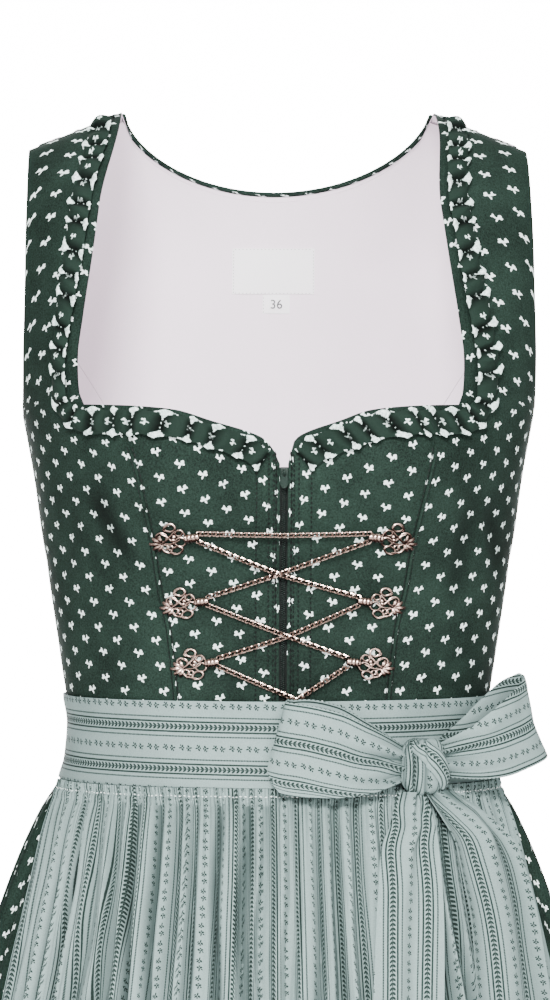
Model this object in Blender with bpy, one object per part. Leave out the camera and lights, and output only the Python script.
"""A dirndl dress: laced bodice with a ruched neckline, gathered skirt, striped apron and bow.

Metres, +Z up. The front faces -Y and the wearer's left is +X. The origin lies between the tops
of the two shoulders, where the wearer holds the dress up. The dress keeps its worn, hollow form.

A point of the figure is named by an angle round the body (0 centre front, 90 the wearer's left
side, 180 centre back) and a height. Cloth is laid on the figure with a distance out from it.
"""
import math
from collections import namedtuple

import bpy
import bmesh
from mathutils import Vector

# ------------------------------------------------------------------ driving dimensions
SEAM_GAP = 0.0003          # between two pieces that are sewn together
CLOTH = 0.0016             # wall of the bodice cloth
LINING = 0.0010
NECK_POINT = 0.100         # from the centre to where strap and neck meet on the shoulder
SHOULDER_TIP = 0.159       # from the centre to the outer end of the shoulder
SHOULDER_SLOPE = 22.2      # degrees
SHOULDER_Y = 0.005         # the shoulder line lies a little behind the side seams
ARCH_FRONT = 0.150         # height over which the front curves back to the shoulder line
ARCH_BACK = 0.110
UNDERARM = -0.195
ARMHOLE_BACK_SEAM = -0.120  # where the back princess seam reaches the armhole
WAIST_SEAM = -0.398
BAND_TOP = -0.3715
BAND_BOTTOM = -0.424
HEM = -1.000
APRON_HEM = -0.965
BACK_NECK_DROP = 0.0456
ZIP_HALF_SLOT = 0.0023
ZIP_TOP = -0.2285
NECK_SHIFT = 0.0070        # the front neckline sits this far towards the wearer's right

Form = namedtuple("Form", "z half_width front back squareness")
FIGURE = [
    Form(0.080, 0.1720, 0.1080, 0.0700, 2.40),
    Form(0.000, 0.1720, 0.1100, 0.0820, 2.40),
    Form(-0.050, 0.1720, 0.1120, 0.0940, 2.40),
    Form(-0.100, 0.1720, 0.1140, 0.1040, 2.40),
    Form(-0.150, 0.1700, 0.1160, 0.1080, 2.40),
    Form(-0.180, 0.1660, 0.1170, 0.1080, 2.40),
    Form(-0.195, 0.1630, 0.1170, 0.1070, 2.40),
    Form(-0.238, 0.1553, 0.1150, 0.1040, 2.38),
    Form(-0.266, 0.1514, 0.1110, 0.1010, 2.35),
    Form(-0.295, 0.1467, 0.1060, 0.0970, 2.32),
    Form(-0.324, 0.1426, 0.1020, 0.0930, 2.28),
    Form(-0.352, 0.1387, 0.0990, 0.0900, 2.25),
    Form(-0.370, 0.1358, 0.0965, 0.0880, 2.22),
    Form(-0.389, 0.1325, 0.0950, 0.0860, 2.20),
    Form(-0.411, 0.1332, 0.0965, 0.0875, 2.20),
    Form(-0.424, 0.1372, 0.1010, 0.0915, 2.20),
    Form(-0.447, 0.1500, 0.1120, 0.1040, 2.19),
    Form(-0.485, 0.1650, 0.1265, 0.1200, 2.17),
    Form(-0.550, 0.1850, 0.1450, 0.1410, 2.15),
    Form(-0.670, 0.2140, 0.1720, 0.1730, 2.12),
    Form(-0.820, 0.2410, 0.2010, 0.2050, 2.10),
    Form(-1.000, 0.2640, 0.2250, 0.2330, 2.10),
]

Cup = namedtuple("Cup", "x z height width above below")
CUP = Cup(x=0.073, z=-0.225, height=0.024, width=0.048, above=0.062, below=0.052)

Point = namedtuple("Point", "x z")
NECK_SIDE = [Point(0.1000, 0.000), Point(0.1045, -0.050), Point(0.1100, -0.095),
             Point(0.1160, -0.135), Point(0.1193, -0.1625), Point(0.1188, -0.180),
             Point(0.1156, -0.1895)]
NECK_FRONT = [Point(0.0023, -0.2262), Point(0.0080, -0.2125), Point(0.0140, -0.2082),
              Point(0.0390, -0.1999), Point(0.0600, -0.1933), Point(0.0840, -0.1908),
              Point(0.0995, -0.1900)]
ARMHOLE = [Point(0.1590, -0.024), Point(0.1593, -0.050), Point(0.1600, -0.100),
           Point(0.1612, -0.150), Point(0.1618, -0.180), Point(0.1630, -0.195)]
PRINCESS_FRONT = [Point(0.0995, -0.1900), Point(0.0945, -0.2091), Point(0.0862, -0.2438),
                  Point(0.0800, -0.2730), Point(0.0755, -0.3020), Point(0.0700, -0.3270),
                  Point(0.0656, -0.3670), Point(0.0635, -0.3980)]
PRINCESS_BACK = [Point(0.1605, -0.1200), Point(0.1300, -0.1600), Point(0.1060, -0.2000),
                 Point(0.0870, -0.2500), Point(0.0745, -0.3000), Point(0.0665, -0.3500),
                 Point(0.0620, -0.3980)]
RUFFLE_PATH = [Point(0.0125, -0.2255), Point(0.0240, -0.2180), Point(0.0400, -0.2125),
               Point(0.0600, -0.2065), Point(0.0840, -0.2035), Point(0.1040, -0.2030),
               Point(0.1205, -0.1995), Point(0.1300, -0.1890), Point(0.1325, -0.1730),
               Point(0.1318, -0.1550), Point(0.1282, -0.1300), Point(0.1222, -0.0950),
               Point(0.1170, -0.0550), Point(0.1145, -0.0250), Point(0.1135, -0.0070)]

# rows of the bodice grids: the lowest ones are level, the rest rise to each panel's top edge
LEVEL_ROWS = (WAIST_SEAM + SEAM_GAP / 2, -0.389, BAND_TOP, -0.350)
RISING_ROWS = 6
STRAP_BENDS = (90, 88, 83, 74, 64, 53, 42, 30, 16, 0)    # degrees round the arch of the shoulder
FRONT_STEPS = (0.0, 0.06, 0.15, 0.28, 0.45, 0.63, 0.81, 1.0)
STRAP_COLUMNS = 4
SIDE_BACK_COLUMNS = 5
NECK_STEPS = (0.90, 0.68, 0.36, 0.0)    # columns across half the back neck

Skirting = namedtuple("Skirting", "z skirt_fold apron_fold")
FOLD_DEPTH = [
    Skirting(-0.3980, 0.0002, 0.0004),
    Skirting(-0.4110, 0.0006, 0.0006),
    Skirting(-0.4243, 0.0012, 0.0008),
    Skirting(-0.4470, 0.0030, 0.0018),
    Skirting(-0.4850, 0.0055, 0.0032),
    Skirting(-0.5500, 0.0080, 0.0048),
    Skirting(-0.6700, 0.0105, 0.0068),
    Skirting(-0.8200, 0.0130, 0.0086),
    Skirting(-1.0000, 0.0155, 0.0100),
]
SKIRT_ROWS = (-0.39815, -0.411, -0.4243, -0.447, -0.485, -0.550, -0.670, -0.820, HEM)
APRON_ROWS = (-0.4243, -0.447, -0.485, -0.550, -0.670, -0.820, APRON_HEM)
SKIRT_CLOTH = 0.0020
APRON_CLOTH = 0.0016
PLAIN_FRONT = 62.0         # the skirt lies smooth under the apron up to this angle
PLAIN_COLUMNS = 7
SIDE_FOLDS = 3             # gathers of each front panel, between the plain part and the side seam
BACK_FOLDS = 10            # gathers of each back panel
APRON_FOLDS = 27
ApronEdge = namedtuple("ApronEdge", "z angle")
APRON_EDGE = [ApronEdge(-0.424, 80.0), ApronEdge(-0.447, 75.0), ApronEdge(-0.485, 69.5),
              ApronEdge(-0.550, 66.0), ApronEdge(-0.670, 64.5), ApronEdge(-1.000, 63.0)]

Band = namedtuple("Band", "z out")
BAND_ROWS = [Band(BAND_TOP, 0.0009), Band(-0.389, 0.0009), Band(-0.411, 0.0016),
             Band(BAND_BOTTOM, 0.0019)]
BAND_CLOTH = 0.0016
BAND_COLUMNS = 40
BAND_LIFT = 0.0035         # the band bulges over the tucked ends of the chain
BAND_LIFT_HALF_ANGLE = 14.0

RUFFLE_UNITS = 21
RUFFLE_HALF_WIDTH = 0.0100
RUFFLE_HEIGHT = 0.0048
RUFFLE_CLOTH = 0.0015

Hook = namedtuple("Hook", "level x z tilt")
HOOKS = [Hook("top", 0.0668, -0.2713, 5.0), Hook("middle", 0.0605, -0.3109, 5.0),
         Hook("bottom", 0.0540, -0.3485, 5.0)]
REST = 0.0013              # hard trim lies this far off the cloth, clear of its facets
LABEL_REST = 0.0003
HOOK_RADIUS = 0.0095
HOOK_LOBE = 0.0014
CLASP_REACH = 0.0174
CLASP_HALF_WIDTH = 0.0024
HOOK_THICKNESS = 0.0016

# a stretch of chain runs from one place to another: side (-1 right, 1 left), level, up or down,
# and how far it is raised where it crosses another one, at crossing_x
Stretch = namedtuple("Stretch", "from_side from_level from_edge to_side to_level to_edge raised crossing_x")
CHAIN_RADIUS = 0.0009
CHAIN_OVER = 2 * CHAIN_RADIUS + 0.0008
CHAIN = [
    Stretch(-1, "top", 1, 1, "top", 1, 0, 0),
    Stretch(-1, "top", -1, 1, "middle", 1, 0, 0),
    Stretch(1, "top", -1, -1, "middle", 1, CHAIN_OVER, 0),
    Stretch(-1, "middle", -1, 1, "bottom", 1, CHAIN_OVER, 0),
    Stretch(1, "middle", -1, -1, "bottom", 1, 0, 0),
    Stretch(-1, "bottom", -1, 1, "tuck_right", 0, 0, 0),
    Stretch(1, "bottom", -1, 1, "tuck_left", 0, CHAIN_OVER, 0.0085),
]
CHAIN_STEPS = 11
TUCKS = {"tuck_right": Point(0.0175, -0.3725), "tuck_left": Point(0.0005, -0.3738)}

Bow = namedtuple("Bow", "angle z out half_width")
KNOT = Bow(angle=36.0, z=-0.4115, out=0.0185, half_width=0.0160)
KNOT_HALF_HEIGHT = 0.0172
KNOT_FRONT = 0.0095
KNOT_BEHIND = 0.0126        # the knot's wrap reaches back to the band
LOOP_LEFT = [Bow(43.1, -0.4085, 0.0150, 0.0100), Bow(51.0, -0.4040, 0.0185, 0.0165),
             Bow(59.0, -0.3970, 0.0230, 0.0220), Bow(67.0, -0.3890, 0.0275, 0.0258),
             Bow(73.0, -0.3825, 0.0310, 0.0268)]
LOOP_RIGHT = [Bow(29.5, -0.4090, 0.0150, 0.0100), Bow(21.0, -0.4060, 0.0150, 0.0175),
              Bow(12.0, -0.4020, 0.0150, 0.0230), Bow(4.0, -0.3990, 0.0150, 0.0260),
              Bow(-2.5, -0.3970, 0.0145, 0.0270)]
LEAN_LEFT = 20.0           # degrees that a loop's end fold leans towards the knot
LEAN_RIGHT = 15.0
TAIL_LEFT = [Bow(40.9, -0.4285, 0.0150, 0.0110), Bow(44.5, -0.4430, 0.0160, 0.0190),
             Bow(47.0, -0.4600, 0.0160, 0.0245), Bow(46.5, -0.4900, 0.0165, 0.0265),
             Bow(43.5, -0.5500, 0.0185, 0.0270), Bow(39.5, -0.6500, 0.0215, 0.0270),
             Bow(36.5, -0.7500, 0.0240, 0.0275), Bow(34.5, -0.8300, 0.0255, 0.0275)]
TAIL_RIGHT = [Bow(31.7, -0.4285, 0.0150, 0.0090), Bow(29.5, -0.4450, 0.0155, 0.0135),
              Bow(27.0, -0.4600, 0.0155, 0.0175), Bow(24.8, -0.4900, 0.0160, 0.0200),
              Bow(21.5, -0.5500, 0.0180, 0.0215), Bow(18.0, -0.6500, 0.0210, 0.0235),
              Bow(15.5, -0.7600, 0.0240, 0.0250), Bow(14.0, -0.8500, 0.0260, 0.0260)]
BOW_CLOTH = 0.0016
BOW_RING = 0.135           # the bow is wound round a ring of about this radius

# ------------------------------------------------------------------ materials
Finish = namedtuple("Finish", "colour roughness metallic")
FINISHES = {
    "green_cotton": Finish((0.034, 0.068, 0.053), 0.85, 0.0),
    "apron_cotton": Finish((0.440, 0.515, 0.500), 0.75, 0.0),
    "pale_lining": Finish((0.780, 0.745, 0.765), 0.70, 0.0),
    "white_label": Finish((0.870, 0.870, 0.870), 0.65, 0.0),
    "zip_green": Finish((0.020, 0.050, 0.038), 0.50, 0.0),
    "old_silver": Finish((0.560, 0.440, 0.390), 0.38, 1.0),
}


def clear_scene():
    for obj in list(bpy.data.objects):
        bpy.data.objects.remove(obj, do_unlink=True)


def make_materials():
    made = {}
    for name, finish in FINISHES.items():
        material = bpy.data.materials.new(name)
        material.use_nodes = True
        shader = material.node_tree.nodes["Principled BSDF"]
        shader.inputs["Base Color"].default_value = (*finish.colour, 1.0)
        shader.inputs["Roughness"].default_value = finish.roughness
        shader.inputs["Metallic"].default_value = finish.metallic
        made[name] = material
    return made


# ------------------------------------------------------------------ smooth values from the tables
def slope_at(rows, i, key, value):
    """Slope of the smooth curve at row i: it never overshoots the rows."""
    def step(k):
        a, b = rows[k], rows[k + 1]
        return (getattr(b, value) - getattr(a, value)) / (getattr(b, key) - getattr(a, key))
    if i == 0:
        return step(0)
    if i == len(rows) - 1:
        return step(i - 1)
    before, after = step(i - 1), step(i)
    if before * after <= 0:
        return 0.0
    return 2 * before * after / (before + after)


def read(rows, key, value, at):
    """The value at `at`, on a smooth curve through the rows of a table."""
    ordered = rows if getattr(rows[0], key) < getattr(rows[-1], key) else rows[::-1]
    at = min(max(at, getattr(ordered[0], key)), getattr(ordered[-1], key))
    i = 0
    while i < len(ordered) - 2 and getattr(ordered[i + 1], key) < at:
        i += 1
    a, b = ordered[i], ordered[i + 1]
    span = getattr(b, key) - getattr(a, key)
    t = (at - getattr(a, key)) / span
    rise_a = slope_at(ordered, i, key, value) * span
    rise_b = slope_at(ordered, i + 1, key, value) * span
    va, vb = getattr(a, value), getattr(b, value)
    return (va * (1 + 2 * t) * (1 - t) ** 2 + rise_a * t * (1 - t) ** 2
            + vb * t * t * (3 - 2 * t) - rise_b * t * t * (1 - t))


def mix(a, b, t):
    return a + (b - a) * t


def ramp(value, start, stop):
    t = min(max((value - start) / (stop - start), 0.0), 1.0)
    return t * t * (3 - 2 * t)


# ------------------------------------------------------------------ the figure
def ring_depth(x, z, back):
    """How far the level ring at z reaches forwards or backwards at x."""
    half_width = read(FIGURE, "z", "half_width", z)
    depth = read(FIGURE, "z", "back" if back else "front", z)
    n = read(FIGURE, "z", "squareness", z)
    return depth * max(1 - min(abs(x) / half_width, 1.0) ** n, 0.0) ** (1 / n)


def cup_height(x, z):
    rise = CUP.above if z > CUP.z else CUP.below
    level = math.exp(-((z - CUP.z) / rise) ** 2)
    sides = sum(math.exp(-((x - side * CUP.x) / CUP.width) ** 2) for side in (-1, 1))
    return CUP.height * level * sides


def shoulder_height(x):
    return -(abs(x) - NECK_POINT) * math.tan(math.radians(SHOULDER_SLOPE))


def outside(point, back):
    """Zero on the figure, positive outside it: its gradient is the way out."""
    x, y, z = point
    reach = -1 if not back else 1
    ridge = SHOULDER_Y + reach * SEAM_GAP / 2
    arch = ARCH_BACK if back else ARCH_FRONT
    w = 1 - (shoulder_height(x) - z) / arch
    cup = 0.0 if back else cup_height(x, z)
    if w <= 0:
        half_width = read(FIGURE, "z", "half_width", z)
        depth = read(FIGURE, "z", "back" if back else "front", z)
        n = read(FIGURE, "z", "squareness", z)
        return (abs(x) / half_width) ** n + (max(reach * y - cup, 0.0) / depth) ** n - 1
    span = reach * (ring_depth(x, z, back) + cup) - ridge
    return ((y - ridge) / span) ** 2 + w * w - 1


def way_out(point, back):
    """Unit normal of the figure at a point on it."""
    step = 0.0002
    slopes = []
    for axis in range(3):
        ahead, behind = list(point), list(point)
        ahead[axis] += step
        behind[axis] -= step
        slopes.append(outside(ahead, back) - outside(behind, back))
    return Vector(slopes).normalized()


def body_xz(x, z, out=0.0, back=False):
    """A point of the torso above x and z, moved out along the normal."""
    reach = 1 if back else -1
    y = reach * (ring_depth(x, z, back) + (0.0 if back else cup_height(x, z)))
    ridge = SHOULDER_Y + reach * SEAM_GAP / 2
    arch = ARCH_BACK if back else ARCH_FRONT
    w = min(1 - (shoulder_height(x) - z) / arch, 1.0)
    if w > 0:
        y = ridge + (y - ridge) * math.sqrt(1 - w * w)
    point = Vector((x, y, z))
    return point + way_out(point, back) * out if out else point


def body(angle, z, out=0.0):
    """A point of the torso at an angle and a height, moved out along the normal."""
    x = read(FIGURE, "z", "half_width", z) * math.sin(math.radians(angle))
    return body_xz(x, z, out, back=abs(angle) > 90)


def angle_of(x, z, back=False):
    half_width = read(FIGURE, "z", "half_width", z)
    angle = math.degrees(math.asin(min(max(x / half_width, -1.0), 1.0)))
    return 180 - angle if back else angle


def round_ring(angle, z, out=0.0):
    """A point of the skirt's ring, moved out level. The angle may run past 180."""
    half_width = read(FIGURE, "z", "half_width", z)
    turn = math.radians(angle)
    x = half_width * math.sin(turn)
    back = math.cos(turn) < 0
    depth = read(FIGURE, "z", "back" if back else "front", z)
    n = read(FIGURE, "z", "squareness", z)
    share = abs(math.sin(turn))
    reach = max(1 - share ** n, 0.0) ** (1 / n)
    y = depth * reach * (1 if back else -1)
    normal = Vector((math.copysign(share ** (n - 1), x) / half_width,
                     math.copysign(reach ** (n - 1), y) / depth, 0.0)).normalized()
    return Vector((x, y, z)) + normal * out


# ------------------------------------------------------------------ meshes
def shift_neckline(bm):
    """Moves the front neckline and the straps' inner edges a little to the wearer's right."""
    for vertex in bm.verts:
        x, y, z = vertex.co
        up = ramp(z, -0.226, -0.188) * (1 - ramp(z, -0.065, -0.005))
        aside = 1 - ramp(abs(x), 0.122, 0.158)
        front = 1 - ramp(y, -0.020, 0.012)
        vertex.co.x -= NECK_SHIFT * up * aside * front


def finish(name, mesh_bm, material, smooth=True):
    bmesh.ops.recalc_face_normals(mesh_bm, faces=mesh_bm.faces)
    mesh = bpy.data.meshes.new(name)
    mesh_bm.to_mesh(mesh)
    mesh_bm.free()
    mesh.materials.append(MATERIALS[material])
    if smooth:
        mesh.shade_smooth()
        mesh.set_sharp_from_angle(angle=math.radians(50))
    obj = bpy.data.objects.new(name, mesh)
    bpy.context.scene.collection.objects.link(obj)
    return obj


def wall(name, grids, place, material, mirrored=False, wrap=False):
    """A closed wall of cloth over grids of keys: place(key, side) gives a point of side 1, the
    outer face, or side 0, the inner face. Grids that share keys are one piece. `wrap` joins the
    last column to the first."""
    triangles = []
    for grid in grids:
        columns = len(grid[0])
        for r in range(len(grid) - 1):
            for c in range(columns if wrap else columns - 1):
                d = (c + 1) % columns
                a, b = grid[r][c], grid[r][d]
                e, f = grid[r + 1][d], grid[r + 1][c]
                triangles.append((a, b, e))
                triangles.append((a, e, f))
    edges = {}
    for tri in triangles:
        for i in range(3):
            edges[(tri[i], tri[(i + 1) % 3])] = True
    rim = [edge for edge in edges if (edge[1], edge[0]) not in edges]
    bm = bmesh.new()
    made = {}

    def vert(key, side):
        if (key, side) not in made:
            point = place(key, side)
            if mirrored:
                point = Vector((-point.x, point.y, point.z))
            made[(key, side)] = bm.verts.new(point)
        return made[(key, side)]

    for tri in triangles:
        bm.faces.new([vert(key, 1) for key in tri])
        bm.faces.new([vert(key, 0) for key in reversed(tri)])
    for a, b in rim:
        bm.faces.new([vert(b, 1), vert(a, 1), vert(a, 0)])
        bm.faces.new([vert(b, 1), vert(a, 0), vert(b, 0)])
    shift_neckline(bm)
    return finish(name, bm, material)


def on_body(out, thickness):
    """Places keys (angle, z) on the torso, with the outer face at `out`."""
    def place(key, side):
        return body(key[0], key[1], out if side else out - thickness)
    return place


def seam_shift(angle, z, direction):
    """The angle moved by half a seam gap."""
    step = 0.5 * direction
    speed = (body(angle + step, z) - body(angle, z)).length / 0.5
    return angle + direction * SEAM_GAP / 2 / speed


def coons(bottom, top, left, right, across, up):
    """Fills the space between four edges of keys (angle, z)."""
    rows = []
    for r, v in enumerate(up):
        row = []
        for c, u in enumerate(across):
            key = []
            for k in (0, 1):
                corners = mix(mix(bottom[0][k], bottom[-1][k], u), mix(top[0][k], top[-1][k], u), v)
                key.append(mix(bottom[c][k], top[c][k], v) + mix(left[r][k], right[r][k], u) - corners)
            row.append((round(key[0], 9), round(key[1], 9)))
        rows.append(row)
    return rows


def row_heights(top_z):
    """Heights of a vertical edge's rows, from the waist seam up to top_z."""
    rising = [mix(LEVEL_ROWS[-1], top_z, (i + 1) / RISING_ROWS) for i in range(RISING_ROWS)]
    return list(LEVEL_ROWS) + rising


def row_shares():
    """How far each row leans towards the top edge: the level rows not at all."""
    return [0.0] * len(LEVEL_ROWS) + [(i + 1) / RISING_ROWS for i in range(RISING_ROWS)]


def seam_edge(table, direction, back=False):
    """A seam's column of keys, half a seam gap to one side of the seam."""
    keys = []
    for z in row_heights(max(p.z for p in table)):
        angle = angle_of(read(table, "z", "x", z), z, back)
        keys.append((seam_shift(angle, z, direction), z))
    return keys


def armhole_angle(z, back=False):
    return angle_of(read(ARMHOLE, "z", "x", z), z, back)


def arch_heights(low, high):
    """Heights from low to high, closer together towards the shoulder."""
    return [high + (low - high) * (1 - math.cos(math.radians(bend))) for bend in STRAP_BENDS]


def level_bottom(start, stop, across):
    z = LEVEL_ROWS[0]
    return [(mix(start, stop, u), z) for u in across]


# ------------------------------------------------------------------ bodice
def front_grid():
    left = [(seam_shift(angle_of(ZIP_HALF_SLOT, z), z, 0.001), z) for z in row_heights(NECK_FRONT[0].z)]
    right = seam_edge(PRINCESS_FRONT, -1)
    across = FRONT_STEPS
    top = []
    for u in across:
        x = mix(NECK_FRONT[0].x, NECK_FRONT[-1].x, u)
        z = read(NECK_FRONT, "x", "z", x)
        top.append((angle_of(x, z), z))
    top[0], top[-1] = left[-1], right[-1]
    bottom = level_bottom(left[0][0], right[0][0], across)
    return coons(bottom, top, left, right, across, row_shares())


def strap_x(share):
    return mix(NECK_POINT, SHOULDER_TIP, share)


def side_front_grids():
    """The panel below the neckline's corner, and the strap above it, which share one row."""
    left = seam_edge(PRINCESS_FRONT, 1)
    side = [(seam_shift(90.0, z, -1), z) for z in row_heights(UNDERARM)]
    corner = NECK_SIDE[-1]
    corner_key = (angle_of(corner.x, corner.z), corner.z)
    strap_row = []
    for c in range(STRAP_COLUMNS + 1):
        share = c / STRAP_COLUMNS
        strap_row.append((mix(corner_key[0], side[-1][0], share), mix(corner.z, UNDERARM, share)))
    top = [left[-1]] + strap_row
    first = (corner_key[0] - left[-1][0]) / (side[-1][0] - left[-1][0])
    across = [0.0] + [mix(first, 1.0, c / STRAP_COLUMNS) for c in range(STRAP_COLUMNS + 1)]
    bottom = level_bottom(left[0][0], side[0][0], across)
    panel = coons(bottom, top, left, side, across, row_shares())
    neck_z = arch_heights(corner.z, 0.0)
    arm_z = arch_heights(UNDERARM, shoulder_height(SHOULDER_TIP))
    strap = [panel[-1][1:]]
    for r in range(1, len(STRAP_BENDS)):
        start = angle_of(read(NECK_SIDE, "z", "x", neck_z[r]), neck_z[r])
        stop = armhole_angle(arm_z[r])
        row = []
        for c in range(STRAP_COLUMNS + 1):
            share = c / STRAP_COLUMNS
            row.append((mix(start, stop, share), mix(neck_z[r], arm_z[r], share)))
        strap.append(row)
    strap[-1] = [(angle_of(strap_x(c / STRAP_COLUMNS), shoulder_height(strap_x(c / STRAP_COLUMNS))),
                  shoulder_height(strap_x(c / STRAP_COLUMNS))) for c in range(STRAP_COLUMNS + 1)]
    return [panel, strap]


def side_back_grid():
    left = [(seam_shift(90.0, z, 1), z) for z in row_heights(UNDERARM)]
    right = seam_edge(PRINCESS_BACK, -1, back=True)
    across = [c / SIDE_BACK_COLUMNS for c in range(SIDE_BACK_COLUMNS + 1)]
    top = []
    for u in across:
        z = mix(UNDERARM, ARMHOLE_BACK_SEAM, u ** 2)
        top.append((armhole_angle(z, back=True), z))
    top[0], top[-1] = left[-1], right[-1]
    bottom = level_bottom(left[0][0], right[0][0], across)
    return coons(bottom, top, left, right, across, row_shares())


def back_grid():
    """Left half first, then its mirror image: one piece from seam to seam."""
    seam = seam_edge(PRINCESS_BACK, 1, back=True)
    arm_heights = arch_heights(ARMHOLE_BACK_SEAM, shoulder_height(SHOULDER_TIP))[2:]
    seam += [(armhole_angle(z, back=True), z) for z in arm_heights]
    rise = len(arm_heights)
    shares = row_shares()
    up = [s * 0.62 for s in shares] + [mix(0.62, 1.0, (i + 1) / rise) for i in range(rise)]
    middle_z = row_heights(mix(WAIST_SEAM, -BACK_NECK_DROP, 0.72))
    last = middle_z[-1]
    middle_z += [mix(last, -BACK_NECK_DROP, (i + 1) / rise) for i in range(rise)]
    middle = [(180.0, z) for z in middle_z]
    top = []
    for c in range(STRAP_COLUMNS + 1):
        x = strap_x(1 - c / STRAP_COLUMNS)
        z = shoulder_height(x)
        top.append((angle_of(x, z, back=True), z))
    for share in NECK_STEPS:
        x = NECK_POINT * share
        z = -BACK_NECK_DROP * (1 - share ** 2) ** 0.62
        top.append((angle_of(x, z, back=True), z))
    across = [c / (len(top) - 1) for c in range(len(top))]
    bottom = level_bottom(seam[0][0], 180.0, across)
    half = coons(bottom, top, seam, middle, across, up)
    rows = []
    for row in half:
        other = [(round(360.0 - angle, 9), z) for angle, z in row[:-1]]
        rows.append(row + other[::-1])
    return rows


def place_back(out, thickness):
    """As on_body, for keys whose angle may run past 180."""
    def place(key, side):
        angle, z = key
        distance = out if side else out - thickness
        if angle <= 180:
            return body(angle, z, distance)
        point = body(360.0 - angle, z, distance)
        return Vector((-point.x, point.y, point.z))
    return place


def make_bodice():
    inside = -CLOTH - SEAM_GAP
    front, side_front = front_grid(), side_front_grids()
    side_back, back = side_back_grid(), back_grid()
    for side, mirrored in (("left", False), ("right", True)):
        wall(f"bodice_front_{side}", [front], on_body(0, CLOTH), "green_cotton", mirrored)
        wall(f"bodice_side_front_{side}", side_front, on_body(0, CLOTH), "green_cotton", mirrored)
        wall(f"bodice_side_back_{side}", [side_back], on_body(0, CLOTH), "green_cotton", mirrored)
        wall(f"lining_side_back_{side}", [side_back], on_body(inside, LINING), "pale_lining", mirrored)
    wall("bodice_back", [back], place_back(0, CLOTH), "green_cotton")
    wall("lining_back", [back], place_back(inside, LINING), "pale_lining")


# ------------------------------------------------------------------ skirt and apron
def uneven(k, lowest, highest):
    """A repeatable uneven share for fold k, between lowest and highest."""
    wave = 0.5 + 0.30 * math.sin(2.1 * k + 0.4) + 0.20 * math.sin(5.3 * k + 1.1)
    return mix(lowest, highest, wave)


def fold_columns(start, stop, count, first):
    """Columns (angle, fold, height): a narrow valley and a round crest for each fold."""
    widths = [uneven(first + k, 0.7, 1.3) for k in range(count)]
    scale = (stop - start) / sum(widths)
    columns = []
    angle = start
    for k, width in enumerate(widths):
        for share, height in ((0.0, -1.0), (0.34, 0.8), (0.68, 1.0)):
            columns.append((angle + width * scale * share, first + k, height))
        angle += width * scale
    return columns + [(stop, first + count, -1.0)]


def skirt_envelope(angle, z):
    """Height of the skirt's fold crests: none on the plain front, under the apron."""
    from_front = abs((angle + 180) % 360 - 180)
    return read(FOLD_DEPTH, "z", "skirt_fold", z) * ramp(from_front, PLAIN_FRONT - 4, PLAIN_FRONT + 10)


def place_skirt(key, side):
    angle, fold, height, z = key
    depth = skirt_envelope(angle, z) * uneven(fold + 3.0 * z, 0.6, 1.0)
    return round_ring(angle, z, depth * height - (0 if side else SKIRT_CLOTH))


def skirt_rows(columns, rows):
    return [[(angle, fold, height, z) for angle, fold, height in columns] for z in rows[::-1]]


def trimmed(columns, at_start, at_end):
    """The first and last columns moved in by half a seam gap, in degrees."""
    first, last = columns[0], columns[-1]
    return ([(first[0] + at_start, first[1], first[2])] + columns[1:-1]
            + [(last[0] - at_end, last[1], last[2])])


def make_skirt():
    half_gap = 0.065       # degrees that half a seam gap takes on the narrow top ring
    plain = [(PLAIN_FRONT * c / PLAIN_COLUMNS, 0, 0.0) for c in range(PLAIN_COLUMNS)]
    front = trimmed(plain + fold_columns(PLAIN_FRONT, 90.0, SIDE_FOLDS, 1), half_gap, half_gap / 4)
    back = trimmed(fold_columns(90.0, 180.0, BACK_FOLDS, 5), half_gap / 4, half_gap)
    for side, mirrored in (("left", False), ("right", True)):
        wall(f"skirt_front_{side}", [skirt_rows(front, SKIRT_ROWS)], place_skirt, "green_cotton", mirrored)
        wall(f"skirt_back_{side}", [skirt_rows(back, SKIRT_ROWS)], place_skirt, "green_cotton", mirrored)


def apron_valley(angle, z):
    """How far out the inside of the apron lies at its valleys."""
    return skirt_envelope(angle, z) + 0.0004


def apron_crest(angle, z):
    """How far out the outside of the apron lies at its crests."""
    return apron_valley(angle, z) + 2 * read(FOLD_DEPTH, "z", "apron_fold", z) + APRON_CLOTH


def place_apron(key, side):
    share, fold, height, z = key
    angle = share * read(APRON_EDGE, "z", "angle", z)
    depth = read(FOLD_DEPTH, "z", "apron_fold", z) * uneven(fold + 4.0 * z, 0.6, 1.0)
    lowest = apron_valley(angle, z) + (APRON_CLOTH if side else 0)
    return round_ring(angle, z, lowest + depth * (1 + height))


def make_apron():
    columns = fold_columns(-1.0, 1.0, APRON_FOLDS, 20)
    wall("apron_skirt", [skirt_rows(columns, APRON_ROWS)], place_apron, "apron_cotton")


def place_band(key, side):
    angle, z = key
    from_front = abs((angle + 180) % 360 - 180)
    lift = BAND_LIFT * math.exp(-(from_front / BAND_LIFT_HALF_ANGLE) ** 2)
    out = read(BAND_ROWS, "z", "out", z) + lift
    return round_ring(angle, z, out + (BAND_CLOTH if side else 0))


def make_waistband():
    columns = [360.0 * c / BAND_COLUMNS for c in range(BAND_COLUMNS)]
    rows = [[(angle, row.z) for angle in columns] for row in BAND_ROWS[::-1]]
    wall("apron_waistband", [rows], place_band, "apron_cotton", wrap=True)


# ------------------------------------------------------------------ ruffle and piping
def settle(point):
    """The nearest point of the torso's front."""
    for _ in range(4):
        step = 0.0002
        slopes = []
        for axis in range(3):
            ahead, behind = list(point), list(point)
            ahead[axis] += step
            behind[axis] -= step
            slopes.append((outside(ahead, False) - outside(behind, False)) / (2 * step))
        gradient = Vector(slopes)
        point = point - gradient * (outside(point, False) / gradient.length_squared)
    return point


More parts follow.
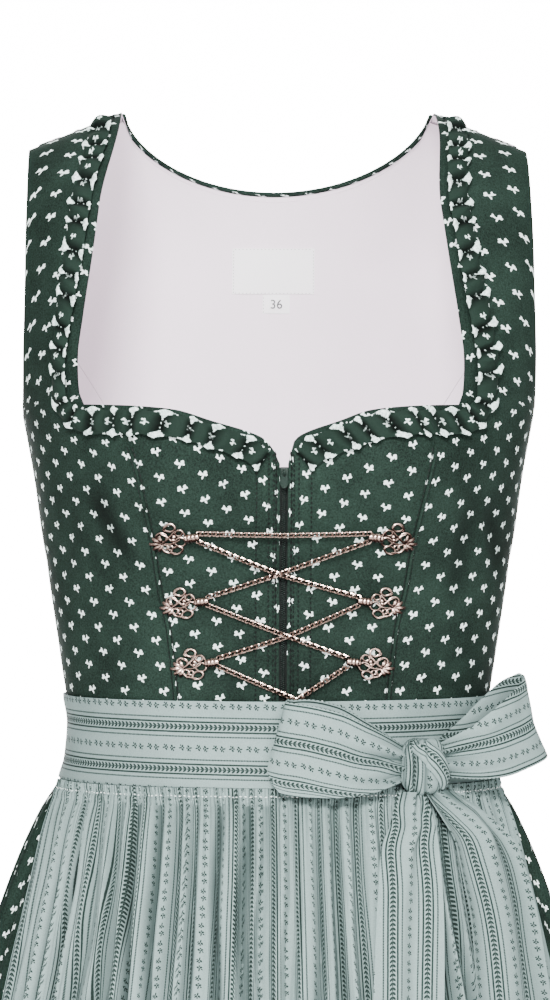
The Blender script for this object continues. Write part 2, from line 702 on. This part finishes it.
def smooth_path(table, samples):
    """Points (x, z) on a rounded path through a table's rows."""
    path = []
    count = len(table)
    for i in range(count - 1):
        before, a, b, after = (table[max(i - 1, 0)], table[i], table[i + 1],
                               table[min(i + 2, count - 1)])
        for s in range(samples):
            t = s / samples
            weights = (-0.5 * t + t * t - 0.5 * t ** 3, 1 - 2.5 * t * t + 1.5 * t ** 3,
                       0.5 * t + 2 * t * t - 1.5 * t ** 3, -0.5 * t * t + 0.5 * t ** 3)
            points = (before, a, b, after)
            path.append((sum(w * p.x for w, p in zip(weights, points)),
                         sum(w * p.z for w, p in zip(weights, points))))
    path.append((table[-1].x, table[-1].z))
    return path


def even_steps(points, count):
    """count + 1 points at equal distances along a path."""
    lengths = [0.0]
    for a, b in zip(points, points[1:]):
        lengths.append(lengths[-1] + (b - a).length)
    result = []
    i = 0
    for k in range(count + 1):
        target = lengths[-1] * k / count
        while i < len(points) - 2 and lengths[i + 1] < target:
            i += 1
        share = (target - lengths[i]) / (lengths[i + 1] - lengths[i])
        result.append(points[i].lerp(points[i + 1], share))
    return result


def make_ruffles():
    per_unit = 3
    count = RUFFLE_UNITS * per_unit
    path = [body_xz(x, z) for x, z in smooth_path(RUFFLE_PATH, 8)]
    path = even_steps(path, count)
    frames = []
    for k, point in enumerate(path):
        ahead = path[min(k + 1, count)] - path[max(k - 1, 0)]
        normal = way_out(point, False)
        frames.append((point, ahead.cross(normal).normalized()))
    strips = (-1.0, -0.4, 0.4, 1.0)

    def place(key, side):
        k, w = key
        point, across = frames[k]
        puff = math.sin(math.pi * (k % per_unit) / per_unit)
        half = RUFFLE_HALF_WIDTH * (0.78 + 0.25 * puff)
        height = 0.0009 + RUFFLE_HEIGHT * puff * (1.0 if abs(w) < 0.5 else 0.5)
        spot = settle(point + across * (half * w))
        return spot + way_out(spot, False) * (height + (RUFFLE_CLOTH if side else 0))

    grid = [[(k, w) for k in range(count + 1)] for w in strips]
    for side, mirrored in (("left", False), ("right", True)):
        wall(f"ruffle_{side}", [grid], place, "green_cotton", mirrored)


def tube(name, points, outs, half_width, half_height, material, mirrored=False):
    """A closed tube of six sides along points, with the ways out given."""
    bm = bmesh.new()
    rings = []
    for k, point in enumerate(points):
        ahead = (points[min(k + 1, len(points) - 1)] - points[max(k - 1, 0)]).normalized()
        across = ahead.cross(outs[k]).normalized()
        up = across.cross(ahead)
        ring = []
        for i in range(6):
            turn = math.radians(60 * i)
            spot = point + across * (half_width * math.cos(turn)) + up * (half_height * math.sin(turn))
            if mirrored:
                spot = Vector((-spot.x, spot.y, spot.z))
            ring.append(bm.verts.new(spot))
        rings.append(ring)
    for a, b in zip(rings, rings[1:]):
        for i in range(6):
            bm.faces.new([a[i], a[(i + 1) % 6], b[(i + 1) % 6], b[i]])
    bm.faces.new(rings[0])
    bm.faces.new(rings[-1])
    shift_neckline(bm)
    return finish(name, bm, material)


def make_piping():
    """A thin cord that stands in each front princess seam, from the ruffle to the waistband."""
    radius = 0.0010
    top, bottom = -0.2150, BAND_TOP + 0.0004
    steps = 14
    points, outs = [], []
    for k in range(steps + 1):
        z = mix(bottom, top, k / steps)
        x = read(PRINCESS_FRONT, "z", "x", z)
        points.append(body_xz(x, z, radius + 0.0005))
        outs.append(way_out(body_xz(x, z), False))
    for side, mirrored in (("left", False), ("right", True)):
        tube(f"piping_{side}", points, outs, radius, radius, "green_cotton", mirrored)


# ------------------------------------------------------------------ zip, labels
def profile_run(name, profile, heights, material):
    """A closed bar along the centre front: profile rows are (x, out), swept over heights."""
    bm = bmesh.new()
    rings = []
    for z in heights:
        middle = body_xz(0.0, z)
        out_way = way_out(middle, False)
        rings.append([bm.verts.new(middle + Vector((x, 0, 0)) + out_way * out) for x, out in profile])
    count = len(profile)
    for a, b in zip(rings, rings[1:]):
        for i in range(count):
            bm.faces.new([a[i], a[(i + 1) % count], b[(i + 1) % count], b[i]])
    bm.faces.new(rings[0])
    bm.faces.new(rings[-1])
    return finish(name, bm, material, smooth=False)


def make_zip():
    """The tape behind the fronts, with the closed row of teeth standing in the slot."""
    tape, teeth = 0.0080, ZIP_HALF_SLOT - 0.0004
    back, face, crown = -0.0032, -0.0021, -0.0006
    profile = [(-tape, back), (tape, back), (tape, face), (teeth, face), (teeth, crown),
               (-teeth, crown), (-teeth, face), (-tape, face)]
    heights = sorted([z for z in row_heights(NECK_FRONT[0].z) if z < ZIP_TOP - 0.004] + [ZIP_TOP - 0.0085])
    profile_run("zip_tape", profile, heights, "zip_green")


SLIDER_TOP = ZIP_TOP + 0.0006
SLIDER_LENGTH = 0.0078
PIVOT_OUT = 0.0034
PIVOT_Z = SLIDER_TOP - 0.0028


def slider_frame():
    """Middle of the pull's axis, and the way out there."""
    middle = body_xz(0.0, PIVOT_Z)
    out_way = way_out(middle, False)
    return middle, out_way


def box_between(bm, lowest, highest, frame):
    """A box in the slider's frame (x, out, up)."""
    middle, out_way = frame
    up_way = Vector((1, 0, 0)).cross(out_way)
    if up_way.z < 0:
        up_way = -up_way
    corners = []
    for up in (lowest[2], highest[2]):
        for x, out in ((lowest[0], lowest[1]), (highest[0], lowest[1]),
                       (highest[0], highest[1]), (lowest[0], highest[1])):
            corners.append(bm.verts.new(middle + Vector((x, 0, 0)) + out_way * out + up_way * up))
    for face in ((0, 1, 2, 3), (4, 5, 6, 7), (0, 1, 5, 4), (1, 2, 6, 5), (2, 3, 7, 6), (3, 0, 4, 7)):
        bm.faces.new([corners[i] for i in face])


def joined(name, boxes, frame, material):
    """Boxes that overlap, joined into one solid by Boolean unions."""
    parts = []
    for lowest, highest in boxes:
        bm = bmesh.new()
        box_between(bm, lowest, highest, frame)
        parts.append(finish(name, bm, material, smooth=False))
    first = parts[0]
    for other in parts[1:]:
        union = first.modifiers.new("union", "BOOLEAN")
        union.operation = "UNION"
        union.object = other
        bpy.context.view_layer.update()
        evaluated = first.evaluated_get(bpy.context.evaluated_depsgraph_get())
        mesh = bpy.data.meshes.new_from_object(evaluated)
        first.modifiers.clear()
        first.data = mesh
        bpy.data.objects.remove(other, do_unlink=True)
    first.name = name
    return first


def make_slider():
    """Body over the slot, stem into it, and the arch that holds the pull's cross bar."""
    frame = slider_frame()
    top, bottom = SLIDER_TOP - PIVOT_Z, SLIDER_TOP - PIVOT_Z - SLIDER_LENGTH
    arch_half, leg, reach = 0.0006, 0.0007, 0.0011
    boxes = [
        ((-0.0026, 0.0004, bottom), (0.0026, 0.0024, top)),
        ((-0.0016, -0.0003, bottom + 0.0010), (0.0016, 0.0010, top - 0.0010)),
        ((-arch_half, 0.0020, reach), (arch_half, PIVOT_OUT + reach + leg, reach + leg)),
        ((-arch_half, 0.0020, -reach - leg), (arch_half, PIVOT_OUT + reach + leg, -reach)),
        ((-arch_half, PIVOT_OUT + reach, -reach - leg / 2), (arch_half, PIVOT_OUT + reach + leg, reach + leg / 2)),
    ]
    joined("zip_slider", boxes, frame, "zip_green")


def make_pull():
    """A teardrop plate with a slot near its top: the arch passes through the slot."""
    middle, out_way = slider_frame()
    up_way = Vector((1, 0, 0)).cross(out_way)
    if up_way.z < 0:
        up_way = -up_way
    pivot = middle + out_way * PIVOT_OUT
    half_bar, slot_low, slot_half = 0.00045, -0.0030, 0.0010
    thickness = 0.0010
    length, broad = 0.0102, 0.0028
    sides = 16
    slot_middle = (half_bar * -1 + slot_low) / 2
    outline, slot = [], []
    for i in range(sides):
        turn = 2 * math.pi * i / sides
        # the outline narrows towards the bar and is round at the foot
        foot = 0.5 - 0.5 * math.cos(turn)
        up = mix(half_bar, half_bar - length, foot)
        across = broad * math.sin(turn) * (0.78 + 0.32 * foot)
        outline.append((across, up))
        slot_up = slot_middle + (-half_bar - slot_middle) * math.cos(turn)
        slot.append((slot_half * math.sin(turn), slot_up))
    bm = bmesh.new()

    def ring(points, out):
        return [bm.verts.new(pivot + Vector((x, 0, 0)) + up_way * up + out_way * out) for x, up in points]

    outer_front, outer_back = ring(outline, thickness / 2), ring(outline, -thickness / 2)
    slot_front, slot_back = ring(slot, thickness / 2), ring(slot, -thickness / 2)
    for i in range(sides):
        k = (i + 1) % sides
        bm.faces.new([outer_front[i], outer_front[k], slot_front[k], slot_front[i]])
        bm.faces.new([outer_back[i], slot_back[i], slot_back[k], outer_back[k]])
        bm.faces.new([outer_front[i], outer_back[i], outer_back[k], outer_front[k]])
        bm.faces.new([slot_front[i], slot_front[k], slot_back[k], slot_back[i]])
    obj = finish("zip_pull", bm, "zip_green", smooth=False)
    shift = pivot.copy()
    for vertex in obj.data.vertices:
        vertex.co -= shift
    obj.location = shift


def make_labels():
    """A bare woven label inside the back, and the size tab below it."""
    out = -CLOTH - 2 * SEAM_GAP - LINING - LABEL_REST
    thickness = 0.0010
    Label = namedtuple("Label", "name left right bottom top columns")
    labels = [Label("label_neck", -0.0276, 0.0276, -0.1101, -0.0795, 6),
              Label("label_size", -0.0071, 0.0110, -0.1230, -0.1105, 2)]

    def place(key, side):
        return body_xz(key[0], key[1], out if side else out - thickness, back=True)

    for label in labels:
        xs = [mix(label.right, label.left, c / label.columns) for c in range(label.columns + 1)]
        zs = [label.bottom, (label.bottom + label.top) / 2, label.top]
        wall(label.name, [[[(x, z) for x in xs] for z in zs]], place, "white_label")


# ------------------------------------------------------------------ hooks and chain
def hook_point(hook, along, up, out):
    """A point of a left hook: along runs outwards from its middle, away from the centre front."""
    tilt = math.radians(hook.tilt)
    x = hook.x + along * math.cos(tilt) + up * math.sin(tilt)
    z = hook.z - along * math.sin(tilt) + up * math.cos(tilt)
    return body_xz(x, z, out)


def make_hooks():
    """Filigree plates with four lobes, each with a clasp towards the centre front."""
    for hook in HOOKS:
        outline = []
        for i in range(24):
            turn = math.radians(15 * i)
            radius = HOOK_RADIUS + HOOK_LOBE * math.cos(4 * turn)
            along, up = radius * math.cos(turn), radius * math.sin(turn)
            if along < 0 and abs(up) < CLASP_HALF_WIDTH:
                if along < 0 and abs(up) < 0.0001:
                    outline += [(-CLASP_REACH, CLASP_HALF_WIDTH), (-CLASP_REACH, -CLASP_HALF_WIDTH)]
                continue
            outline.append((along, up))
        for side, mirrored in (("left", False), ("right", True)):
            bm = bmesh.new()

            def vert(along, up, out):
                point = hook_point(hook, along, up, out)
                return bm.verts.new(Vector((-point.x, point.y, point.z)) if mirrored else point)

            low, high = REST, REST + HOOK_THICKNESS
            under = [vert(a, u, low) for a, u in outline]
            over = [vert(a, u, high) for a, u in outline]
            boss = vert(0, 0, high + 0.0016)
            base = vert(0, 0, low)
            count = len(outline)
            for i in range(count):
                k = (i + 1) % count
                bm.faces.new([under[i], under[k], over[k], over[i]])
                bm.faces.new([over[i], over[k], boss])
                bm.faces.new([under[k], under[i], base])
            finish(f"hook_{side}_{hook.level}", bm, "old_silver", smooth=False)


def chain_end(side, level, edge):
    """Where a stretch of chain meets a clasp, or is tucked behind the waistband: (x, z)."""
    if level in TUCKS:
        return TUCKS[level].x, TUCKS[level].z
    hook = next(h for h in HOOKS if h.level == level)
    tilt = math.radians(hook.tilt)
    reach = CLASP_REACH + 0.0014
    return side * (hook.x - reach * math.cos(tilt)), hook.z + reach * math.sin(tilt) + edge * 0.0013


def make_chain():
    """Seven stretches between the clasps. Where two cross, one passes over the other."""
    cross_width = 0.0050
    ends = [(chain_end(s.from_side, s.from_level, s.from_edge), chain_end(s.to_side, s.to_level, s.to_edge))
            for s in CHAIN]
    for number, (stretch, (start, stop)) in enumerate(zip(CHAIN, ends), 1):
        low = REST + CHAIN_RADIUS
        tuck = 0.0004 + CHAIN_RADIUS if stretch.to_level in TUCKS else low
        first = body_xz(*start, low)
        last = body_xz(*stop, tuck)
        points, outs = [], []
        for k in range(CHAIN_STEPS + 1):
            t = k / CHAIN_STEPS
            x, z = mix(start[0], stop[0], t), mix(start[1], stop[1], t)
            on_cloth = body_xz(x, z, mix(low, tuck, t))
            taut = mix(first.y, last.y, t)
            point = on_cloth.copy()
            point.y = min(on_cloth.y, taut)
            point.y -= stretch.raised * math.exp(-((x - stretch.crossing_x) / cross_width) ** 2)
            points.append(point)
            outs.append(Vector((0, -1, 0)))
        tube(f"chain_{number}", points, outs, 0.0014, CHAIN_RADIUS, "old_silver")


# ------------------------------------------------------------------ bow
def bow_point(row, height, slide, out):
    """A point of the bow: height up and slide round from the row's middle, out from the dress."""
    angle = row.angle + math.degrees(slide / BOW_RING)
    return round_ring(angle, row.z + height, out)


def read_bow(rows, share):
    """The bow's row at a share of its length, on smooth curves through its table."""
    Step = namedtuple("Step", "at angle z out half_width")
    steps = [Step(i / (len(rows) - 1), *row) for i, row in enumerate(rows)]
    return Bow(*(read(steps, "at", name, share) for name in Bow._fields))


def make_loop(name, rows, lean):
    """A ribbon that runs out from the knot, turns round its end fold and comes back behind."""
    steps, across = 7, (-1.0, -0.5, 0.0, 0.5, 1.0)
    fullness = 0.0048
    towards_knot = -1 if rows[-1].angle > rows[0].angle else 1

    def spot(share, u, out):
        row = read_bow(rows, share)
        turn = math.radians(lean) * share
        slide = towards_knot * u * row.half_width * math.sin(turn)
        return bow_point(row, u * row.half_width * math.cos(turn), slide, row.out + out)

    def place(key, side):
        k, u = key
        face = BOW_CLOTH * (0.5 if side else -0.5)
        if k == steps:
            end, before = spot(1.0, u, 0), spot(0.9, u, 0)
            return end + (end - before).normalized() * face
        layer = -1 if k > steps else 1
        share = k / steps if k < steps else (2 * steps - k) / steps
        bulge = fullness * (0.35 + math.sin(math.pi * min(share, 0.93)) ** 0.8)
        crease = 0.0012 * math.cos(2 * math.pi * u) * (1 - share)
        return spot(share, u, layer * (bulge + face) + crease)

    grid = [[(k, u) for k in range(2 * steps + 1)] for u in across]
    wall(name, [grid], place, "apron_cotton")


def make_tail(name, rows, wave):
    """A ribbon end that hangs over the apron's folds."""
    steps, across = 12, (-1.0, -0.6, -0.2, 0.2, 0.6, 1.0)

    def place(key, side):
        k, u = key
        row = read_bow(rows, k / steps)
        middle = round_ring(row.angle, row.z)
        sideways = (round_ring(row.angle + 1, row.z) - round_ring(row.angle - 1, row.z)).normalized()
        outward = round_ring(row.angle, row.z, 1.0) - middle
        ripple = 0.0016 * math.sin(math.pi * 1.5 * u + wave + 2.5 * k / steps)
        clear = max(row.out, apron_crest(row.angle, row.z) + 0.0042)
        distance = clear + ripple + (0.5 if side else -0.5) * BOW_CLOTH
        return middle + sideways * (row.half_width * u) + outward * distance

    grid = [[(k, u) for u in across] for k in range(steps, -1, -1)]
    wall(name, [grid], place, "apron_cotton")


def make_knot():
    """The wrapped ribbon of the knot: a rounded barrel with soft creases round it."""
    bm = bmesh.new()
    levels, turns = 7, 16
    rings = []
    for i in range(1, levels):
        slope = math.pi * i / levels
        ring = []
        for k in range(turns):
            turn = 2 * math.pi * k / turns
            crease = 1.0 + 0.05 * math.cos(3 * turn)
            across = KNOT.half_width * crease * math.cos(turn) * math.sin(slope) ** 0.55
            deepest = KNOT_FRONT if math.sin(turn) > 0 else KNOT_BEHIND
            depth = deepest * math.sin(turn) * math.sin(slope) ** 0.55
            ring.append((across, depth, -KNOT_HALF_HEIGHT * math.cos(slope)))
        rings.append(ring)
    middle = round_ring(KNOT.angle, KNOT.z)
    outward = round_ring(KNOT.angle, KNOT.z, 1.0) - middle
    sideways = Vector((-outward.y, outward.x, 0))

    def vert(across, depth, up):
        return bm.verts.new(middle + sideways * across + outward * (KNOT.out + depth) + Vector((0, 0, up)))

    made = [[vert(*spot) for spot in ring] for ring in rings]
    foot, crown = vert(0, 0, -KNOT_HALF_HEIGHT), vert(0, 0, KNOT_HALF_HEIGHT)
    for a, b in zip(made, made[1:]):
        for k in range(turns):
            n = (k + 1) % turns
            bm.faces.new([a[k], a[n], b[n], b[k]])
    for k in range(turns):
        n = (k + 1) % turns
        bm.faces.new([made[0][n], made[0][k], foot])
        bm.faces.new([made[-1][k], made[-1][n], crown])
    finish("bow_knot", bm, "apron_cotton")


def make_bow():
    make_knot()
    make_loop("bow_loop_left", LOOP_LEFT, LEAN_LEFT)
    make_loop("bow_loop_right", LOOP_RIGHT, LEAN_RIGHT)
    make_tail("bow_tail_left", TAIL_LEFT, 0.6)
    make_tail("bow_tail_right", TAIL_RIGHT, 2.0)


clear_scene()
MATERIALS = make_materials()
make_bodice()
make_skirt()
make_apron()
make_waistband()
make_ruffles()
make_piping()
make_zip()
make_slider()
make_pull()
make_labels()
make_hooks()
make_chain()
make_bow()
